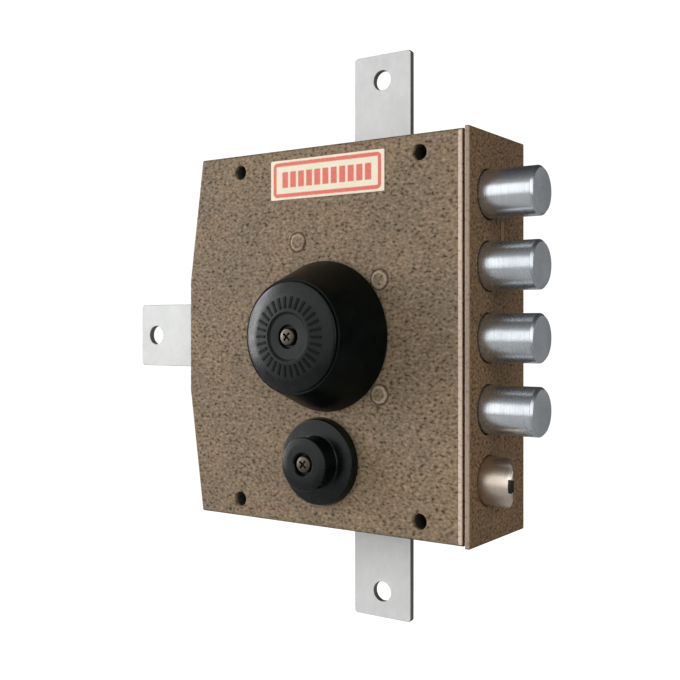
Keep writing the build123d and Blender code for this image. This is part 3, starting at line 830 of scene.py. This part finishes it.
def makeScrew(node, name, body):
    k = crossScrew
    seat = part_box(node)[1][1]
    centre = boxCentre(node)
    corners = [(0, 0, 0), (k["radius"], 0, 0), (k["radius"], k["height"] - k["fall"], k["edge"]),
               (k["radius"] * k["crown"], k["height"], k["dome"]), (0, k["height"], 0)]
    head = meshFrom(turnedForm(rounded(corners), k["spokes"]), name)
    cutter = bmesh.new()
    top = -(k["height"] + k["clear"]) * mm
    deep = -(k["height"] - k["deep"]) * mm
    arm, slot = k["arm"] * mm, k["slot"] * mm
    wider, shallower = slot * 1.001, deep - 0.01 * mm  # so that the two blocks share no face
    addBlock(cutter, (-arm, top, -slot), (arm, deep, slot))
    addBlock(cutter, (-wider, top, -arm), (wider, shallower, arm))
    move(cutter, Matrix.Rotation(math.radians(k["turn"]), 4, "Y"))
    cutMesh = bpy.data.meshes.new(name + "Cut")
    cutter.to_mesh(cutMesh)
    cutter.free()
    blank = linked(name + "Blank", head)
    tool = linked(name + "Tool", cutMesh)
    cut = blank.modifiers.new("cross", "BOOLEAN")
    cut.object = tool
    cut.operation = "DIFFERENCE"
    cut.solver = "EXACT"
    cut.use_self = True
    mesh = evaluated(blank)
    bpy.data.objects.remove(blank)
    bpy.data.objects.remove(tool)
    mesh.transform(Matrix.Translation((centre.x, seat, centre.z)))
    finished(name, smooth(mesh, 30.0), finishes["screw"], body, "screw_steel", node)


makeScrew("main_knob_screw", "largeKnobScrew", "knob")
makeScrew("latch_knob_screw", "smallKnobScrew", "small_knob")
print("screws made")

# Deadbolts: one bolt, repeated down the side

deadbolt = {"count": 4, "radius": 10.0, "relief": 0.15, "step": 70.5, "root": 59.0, "tenon": 5.0,
            "chamfer": 1.1, "ease": 0.35, "spokes": 96}


def makeDeadbolts():
    k = deadbolt
    low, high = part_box("deadbolts")
    r = k["radius"]
    tip = high[0] / mm
    slim = r - k["relief"]
    corners = [(0, k["root"], 0), (slim, k["root"], 0.3), (slim, k["step"], 0), (r, k["step"], 0),
               (r, tip - k["chamfer"], k["ease"]), (r - k["chamfer"], tip, k["ease"]), (0, tip, 0)]
    y = boxCentre("deadbolts").y
    form = turnedForm(rounded(corners, 4), k["spokes"])
    move(form, Matrix.Translation((0, y, 0)) @ Matrix.Rotation(math.pi / 2, 4, "Z"))
    half = k["tenon"] * mm
    addBlock(form, (low[0], y - half, -half), (k["root"] * mm, y + half, half))
    first = high[2] - r * mm
    last = low[2] + r * mm
    row = {"Count": k["count"], "First": (0, 0, first), "Step": (0, 0, (last - first) / (k["count"] - 1)),
           "Finish": finishes["bolt"]}
    mesh = grown(rowTree(), row, meshFrom(form, "deadbolt"))
    finished("boltRow", smooth(mesh), finishes["bolt"], "carriage", "bolt_steel", "deadbolts")


makeDeadbolts()
print("deadbolts made")

# Pillars with their rivet heads on the cover

rivetHead = {"radius": 4.0, "top": 2.6, "shank": 3.6, "proud": 0.9, "flare": 0.4, "seat": 0.1,
             "side": 0.12, "dish": 0.9, "dishEdge": 0.15, "dishDeep": 0.2, "spokes": 48}


def makePillars():
    k = rivetHead
    proud = k["proud"]
    end = (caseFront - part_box("cover_pillars")[1][1]) / mm
    corners = [(0, end, 0), (k["shank"], end, 0), (k["shank"], -k["flare"], 0),
               (k["radius"], -k["seat"], 0), (k["radius"], k["side"], 0), (k["top"], proud, 0.35),
               (k["top"] - k["dish"], proud - k["dishEdge"], 0.3), (0, proud - k["dishDeep"], 0)]
    pillar = linked("pillar", meshFrom(turnedForm(rounded(corners, 3), k["spokes"]), "pillar"))
    places = bpy.data.meshes.new("pillarPlaces")
    places.from_pydata([(x * mm, caseFront, z * mm) for x, z in pillarPlaces], [], [])
    mesh = grown(placedTree(), {"Piece": pillar, "Finish": finishes["rivet"]}, places)
    bpy.data.objects.remove(pillar)
    finished("coverRivets", smooth(mesh), finishes["rivet"], "case", "rivet_paint", "cover_pillars")


makePillars()
print("rivets made")

# Dark piece let into the latch's tip, round to its face: painted shade, standing for the shade in a slot
# at the tip

latchInsert = {"from": 83.1, "proud": 0.06, "inner": 7.5, "half": 15.5, "steps": 6}


def makeLatchSlotShade():
    k = latchInsert
    low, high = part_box("latch_bolt")
    centre = boxCentre("latch_bolt")
    radius = (high[2] - low[2]) / 2
    outer = radius + k["proud"] * mm
    inner = k["inner"] * mm
    near, tip = k["from"] * mm, high[0] + k["proud"] * mm
    form = bmesh.new()
    sections = []
    for step in range(k["steps"] + 1):
        angle = math.radians(k["half"]) * (2 * step / k["steps"] - 1)
        section = []
        for x, reach in ((near, inner), (tip, inner), (tip, outer), (near, outer)):
            section.append(form.verts.new((x, low[1] + radius - reach * math.cos(angle),
                                           centre.z + reach * math.sin(angle))))
        sections.append(section)
    for first, second in zip(sections, sections[1:]):
        for number in range(4):
            following = (number + 1) % 4
            form.faces.new((first[number], first[following], second[following], second[number]))
    form.faces.new(sections[0])
    form.faces.new(sections[-1])
    finished("latchInsert", meshFrom(form, "latchInsert"), finishes["insert"], "latch", "latch_nickel")


makeLatchSlotShade()
print("latch insert made")

# Latch spring: a coil of round wire, the length of the latch spring's box

latchCoil = {"turns": 6.0, "steps": 32, "radius": 5.75, "wire": 0.75, "sides": 10, "gap": 0.05,
             "travel": 13.5}


def coilTree():
    # a round wire along a spiral
    inputs = (("Steps", "Int"), ("Turns", "Float"), ("Radius", "Float"), ("Height", "Float"),
              ("Sides", "Int"), ("Wire", "Float"), ("Finish", "Material"))
    tree = nodeTree("coil", inputs)
    entry = tree.nodes.new("NodeGroupInput").outputs
    spiral = wired(tree, "GeometryNodeCurveSpiral",
                   {"Resolution": entry["Steps"], "Rotations": entry["Turns"],
                    "Start Radius": entry["Radius"], "End Radius": entry["Radius"],
                    "Height": entry["Height"]})
    wire = wired(tree, "GeometryNodeCurvePrimitiveCircle",
                 {"Resolution": entry["Sides"], "Radius": entry["Wire"]})
    coil = wired(tree, "GeometryNodeCurveToMesh",
                 {"Curve": spiral.outputs[0], "Profile Curve": wire.outputs[0], "Fill Caps": True})
    return realised(tree, coil.outputs[0], entry["Finish"])


def makeLatchSpring():
    k = latchCoil
    low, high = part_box("latch_spring")
    centre = boxCentre("latch_spring")
    inset = (k["gap"] + k["wire"]) * mm
    values = {"Steps": k["steps"], "Turns": k["turns"], "Radius": k["radius"] * mm,
              "Height": high[0] - low[0] - 2 * inset, "Sides": k["sides"], "Wire": k["wire"] * mm,
              "Finish": finishes["spring"]}
    form = bmesh.new()
    form.from_mesh(grown(coilTree(), values))
    start = Matrix.Translation((low[0] + inset, centre.y, centre.z))
    move(form, start @ Matrix.Rotation(math.pi / 2, 4, "Y"))
    spring = finished("latchSpring", meshFrom(form, "latchSpring"), finishes["spring"], "latch",
                      "spring_steel", "latch_spring")
    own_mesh(spring)


makeLatchSpring()
print("latch spring made")


# Raised ring and empty frame on both faces of the key's bow

def addRim(form, halfWide, halfHigh, corner, turns):
    # a low rim of square section, through the bow from face to face
    k = keyMarks
    level = k["face"] + k["proud"]
    line, slope = k["line"], k["slope"]
    section = ((line, -level + slope), (line - slope, -level), (slope - line, -level),
               (-line, -level + slope), (-line, level - slope), (slope - line, level),
               (line - slope, level), (line, level - slope))
    rings = []
    for grow, x in section:
        outline = loopPoints(halfWide + grow, halfHigh + grow, corner + grow, turns)
        rings.append([form.verts.new((x * mm, (k["bow"] + y) * mm, z * mm)) for y, z in outline])
    for low, high in zip(rings, rings[1:] + rings[:1]):
        for number in range(len(low)):
            following = (number + 1) % len(low)
            form.faces.new((low[number], low[following], high[following], high[number]))


def makeKeyRims():
    k = keyMarks
    form = bmesh.new()
    addRim(form, k["ring"], k["ring"], k["ring"], 24)
    addRim(form, *k["frame"], k["corner"], 6)
    finished("keyRims", meshFrom(form, "keyRims"), finishes["key"], "key", "key_nickel")


makeKeyRims()
print("key rims made")

# Label plate with rounded corners

labelPlate = {"corner": 0.6, "steps": 4}


def makeLabel():
    k = labelPlate
    low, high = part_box("label_plate")
    centre = boxCentre("label_plate")
    halfWide, halfHigh = (high[0] - low[0]) / 2, (high[2] - low[2]) / 2
    outline = loopPoints(halfWide, halfHigh, k["corner"] * mm, k["steps"])
    form = outlineForm([(centre.x + x, centre.z + z) for x, z in outline], low[1], high[1])
    finished("coverLabel", meshFrom(form, "label"), printedLabel(centre), "case", "label", "label_plate")


makeLabel()
print("label made")

# Floor, lights and camera

studio = {"floor": -1.35, "floorHalf": 14.0, "floorTone": 0.55, "floorRough": 0.9, "seen": 1.05,
          "base": 0.05, "front": 0.32, "frontSpan": (-0.6, 0.8), "above": 0.35,
          "aboveSpan": (0.5, 0.95), "below": 0.4, "belowSpan": (-0.35, 0.10), "away": 4.2}
lamps = {  # direction from the lock, width and height in m, brightness
    "frontLeft": ((-0.54, -0.79, 0.16), (4.6, 3.4), 1.14),
    "left": ((-0.88, -0.46, 0.14), (0.95, 2.4), 12.0),
    "frontRight": ((0.80, -0.58, 0.22), (3.4, 3.5), 1.42),
    "behind": ((0.57, 0.81, 0.10), (3.3, 3.6), 0.24),
    "doorSide": ((-0.80, 0.55, 0.20), (2.2, 2.2), 6.0),
}


def makeFloor():
    # the camera sees the floor as white as the room; other rays see plain matt floor
    k = studio
    half = k["floorHalf"]
    mesh = bpy.data.meshes.new("floor")
    corners = [(-half, -half), (half, -half), (half, half), (-half, half)]
    mesh.from_pydata([(x, y, k["floor"]) for x, y in corners], [], [(0, 1, 2, 3)])
    f = Finish("paleFloor")
    f.set(Base_Color=solid(grey(k["floorTone"])), Roughness=k["floorRough"], Emission_Strength=1.0,
          Emission_Color=f.node("LightPath", out="Is Camera Ray"))
    mesh.materials.append(f.material)
    linked("floor", mesh)


def makeLamp(name, direction, size, brightness):
    light = bpy.data.lights.new(name, "AREA")
    light.shape = "RECTANGLE"
    light.size, light.size_y = size
    light.energy = math.pi * size[0] * size[1] * brightness
    lamp = linked(name, light)
    lamp.location = Vector(direction).normalized() * studio["away"]
    lamp.rotation_euler = Vector(direction).to_track_quat("Z", "Y").to_euler()
    lamp.visible_camera = False


def makeWorld():
    # white for the camera; for other rays a dim room, brighter in front and darker overhead and below
    k = studio
    world = bpy.data.worlds.new("studio")
    bpy.context.scene.world = world
    world.use_nodes = True
    w = Wiring(world.node_tree)
    direction = w.node("TexCoord", out="Generated")
    forward = w.part(direction, "Y") * -1.0
    front = w.span(forward, *k["frontSpan"], 0.0, k["front"], "SMOOTHSTEP")
    height = w.part(direction, "Z")
    poles = w.span(abs(height), *k["aboveSpan"], 1.0, k["above"], "SMOOTHSTEP")
    low = w.span(height, *k["belowSpan"], k["below"], 1.0, "SMOOTHSTEP")
    room = (front + k["base"]) * poles * low
    seen = w.node("LightPath", out="Is Camera Ray")
    back = world.node_tree.nodes["Background"]
    w.feed(back.inputs["Strength"], seen * k["seen"] + (1.0 - seen) * room)
    w.feed(back.inputs["Color"], solid(grey(1.0)))


makeFloor()
makeWorld()
for name, (direction, size, brightness) in lamps.items():
    makeLamp(name, direction, size, brightness)

# The camera stands and looks as the photo's did

photo = {"place": (0.2509, -0.4026, 0.0040), "turn": 34.762, "lens": 52.62, "sensor": 36.0,
         "shiftY": -0.0190}
camera = bpy.data.cameras.new("camera")
camera.lens = photo["lens"]
camera.sensor_width = photo["sensor"]
camera.shift_y = photo["shiftY"]
camera.clip_start = 0.01
eye = linked("camera", camera)
eye.location = photo["place"]
eye.rotation_euler = (math.radians(90), 0, math.radians(photo["turn"]))
bpy.context.scene.camera = eye
bpy.context.scene.view_settings.view_transform = "Standard"
print("studio made")
